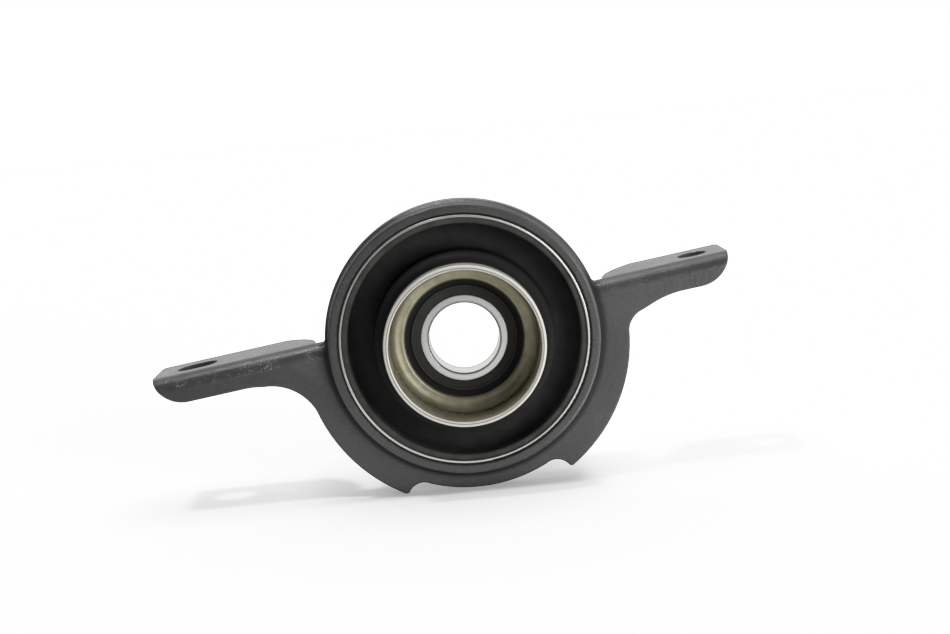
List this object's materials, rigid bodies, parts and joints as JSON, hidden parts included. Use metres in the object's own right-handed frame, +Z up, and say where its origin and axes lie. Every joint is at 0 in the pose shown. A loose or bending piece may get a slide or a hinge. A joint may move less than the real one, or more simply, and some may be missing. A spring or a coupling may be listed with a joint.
{
  "type": "driveshaft centre bearing",
  "caption": "Sealed ball bearing in a rubber-cushioned sleeve, held in a pressed steel bracket with a slotted arm and a holed arm, to carry the middle of a driveshaft.",
  "frame": {"origin": "centre of the shaft bore, halfway along the bearing", "axes": "+X along the bracket's arms towards the arm with the round hole, +Y along the shaft towards the rear, +Z up, square to the flanges' seating faces"},
  "size_m": [0.2478, 0.0535, 0.1226],
  "materials": {
    "bracket_paint": "satin dark grey paint with a fine grain",
    "sleeve_steel": "satin",
    "cushion_rubber": "matt",
    "plated_steel": "yellowish plating, satin, bare at the rim",
    "ring_steel": "ground",
    "seal_rubber": "matt",
    "cage_steel": "pressed sheet",
    "ball_steel": "polished"
  },
  "bodies": {
    "housing": {"bracket": "bracket_paint", "outer_sleeve": "sleeve_steel", "rubber_cushion": "cushion_rubber", "inner_sleeve": "plated_steel", "bearing_outer_ring": "ring_steel", "front_bearing_seal": "seal_rubber", "rear_bearing_seal": "seal_rubber"},
    "inner_ring": {"bearing_inner_ring": "ring_steel"},
    "cage": {"front_cage_half": "cage_steel", "rear_cage_half": "cage_steel", "cage_rivets": "cage_steel"},
    "ball_1": {"ball_1": "ball_steel"},
    "ball_2": {"ball_2": "ball_steel"},
    "ball_3": {"ball_3": "ball_steel"},
    "ball_4": {"ball_4": "ball_steel"},
    "ball_5": {"ball_5": "ball_steel"},
    "ball_6": {"ball_6": "ball_steel"},
    "ball_7": {"ball_7": "ball_steel"},
    "ball_8": {"ball_8": "ball_steel"},
    "ball_9": {"ball_9": "ball_steel"},
    "ball_10": {"ball_10": "ball_steel"},
    "ball_11": {"ball_11": "ball_steel"}
  },
  "joints": [
    {"name": "inner_ring_spin", "type": "hinge", "parent": "housing", "child": "inner_ring", "pos_m": [0, 0, 0], "axis": [0, 1, 0], "continuous": true},
    {"name": "cage_spin", "type": "hinge", "parent": "housing", "child": "cage", "pos_m": [0, 0, 0], "axis": [0, 1, 0], "continuous": true},
    {"name": "ball_1_roll", "type": "hinge", "parent": "cage", "child": "ball_1", "pos_m": [0.02125, 0, 0], "axis": [0, 1, 0], "continuous": true},
    {"name": "ball_2_roll", "type": "hinge", "parent": "cage", "child": "ball_2", "pos_m": [0.01788, 0, 0.01149], "axis": [0, 1, 0], "continuous": true},
    {"name": "ball_3_roll", "type": "hinge", "parent": "cage", "child": "ball_3", "pos_m": [0.00883, 0, 0.01933], "axis": [0, 1, 0], "continuous": true},
    {"name": "ball_4_roll", "type": "hinge", "parent": "cage", "child": "ball_4", "pos_m": [-0.00302, 0, 0.02103], "axis": [0, 1, 0], "continuous": true},
    {"name": "ball_5_roll", "type": "hinge", "parent": "cage", "child": "ball_5", "pos_m": [-0.01392, 0, 0.01606], "axis": [0, 1, 0], "continuous": true},
    {"name": "ball_6_roll", "type": "hinge", "parent": "cage", "child": "ball_6", "pos_m": [-0.02039, 0, 0.00599], "axis": [0, 1, 0], "continuous": true},
    {"name": "ball_7_roll", "type": "hinge", "parent": "cage", "child": "ball_7", "pos_m": [-0.02039, 0, -0.00599], "axis": [0, 1, 0], "continuous": true},
    {"name": "ball_8_roll", "type": "hinge", "parent": "cage", "child": "ball_8", "pos_m": [-0.01392, 0, -0.01606], "axis": [0, 1, 0], "continuous": true},
    {"name": "ball_9_roll", "type": "hinge", "parent": "cage", "child": "ball_9", "pos_m": [-0.00302, 0, -0.02103], "axis": [0, 1, 0], "continuous": true},
    {"name": "ball_10_roll", "type": "hinge", "parent": "cage", "child": "ball_10", "pos_m": [0.00883, 0, -0.01933], "axis": [0, 1, 0], "continuous": true},
    {"name": "ball_11_roll", "type": "hinge", "parent": "cage", "child": "ball_11", "pos_m": [0.01788, 0, -0.01149], "axis": [0, 1, 0], "continuous": true}
  ],
  "couplings": [
    {"joint": "cage_spin", "follows": "inner_ring_spin", "ratio": 0.41595},
    {"joint": "ball_1_roll", "follows": "inner_ring_spin", "ratio": -2.8905},
    {"joint": "ball_2_roll", "follows": "inner_ring_spin", "ratio": -2.8905},
    {"joint": "ball_3_roll", "follows": "inner_ring_spin", "ratio": -2.8905},
    {"joint": "ball_4_roll", "follows": "inner_ring_spin", "ratio": -2.8905},
    {"joint": "ball_5_roll", "follows": "inner_ring_spin", "ratio": -2.8905},
    {"joint": "ball_6_roll", "follows": "inner_ring_spin", "ratio": -2.8905},
    {"joint": "ball_7_roll", "follows": "inner_ring_spin", "ratio": -2.8905},
    {"joint": "ball_8_roll", "follows": "inner_ring_spin", "ratio": -2.8905},
    {"joint": "ball_9_roll", "follows": "inner_ring_spin", "ratio": -2.8905},
    {"joint": "ball_10_roll", "follows": "inner_ring_spin", "ratio": -2.8905},
    {"joint": "ball_11_roll", "follows": "inner_ring_spin", "ratio": -2.8905}
  ]
}
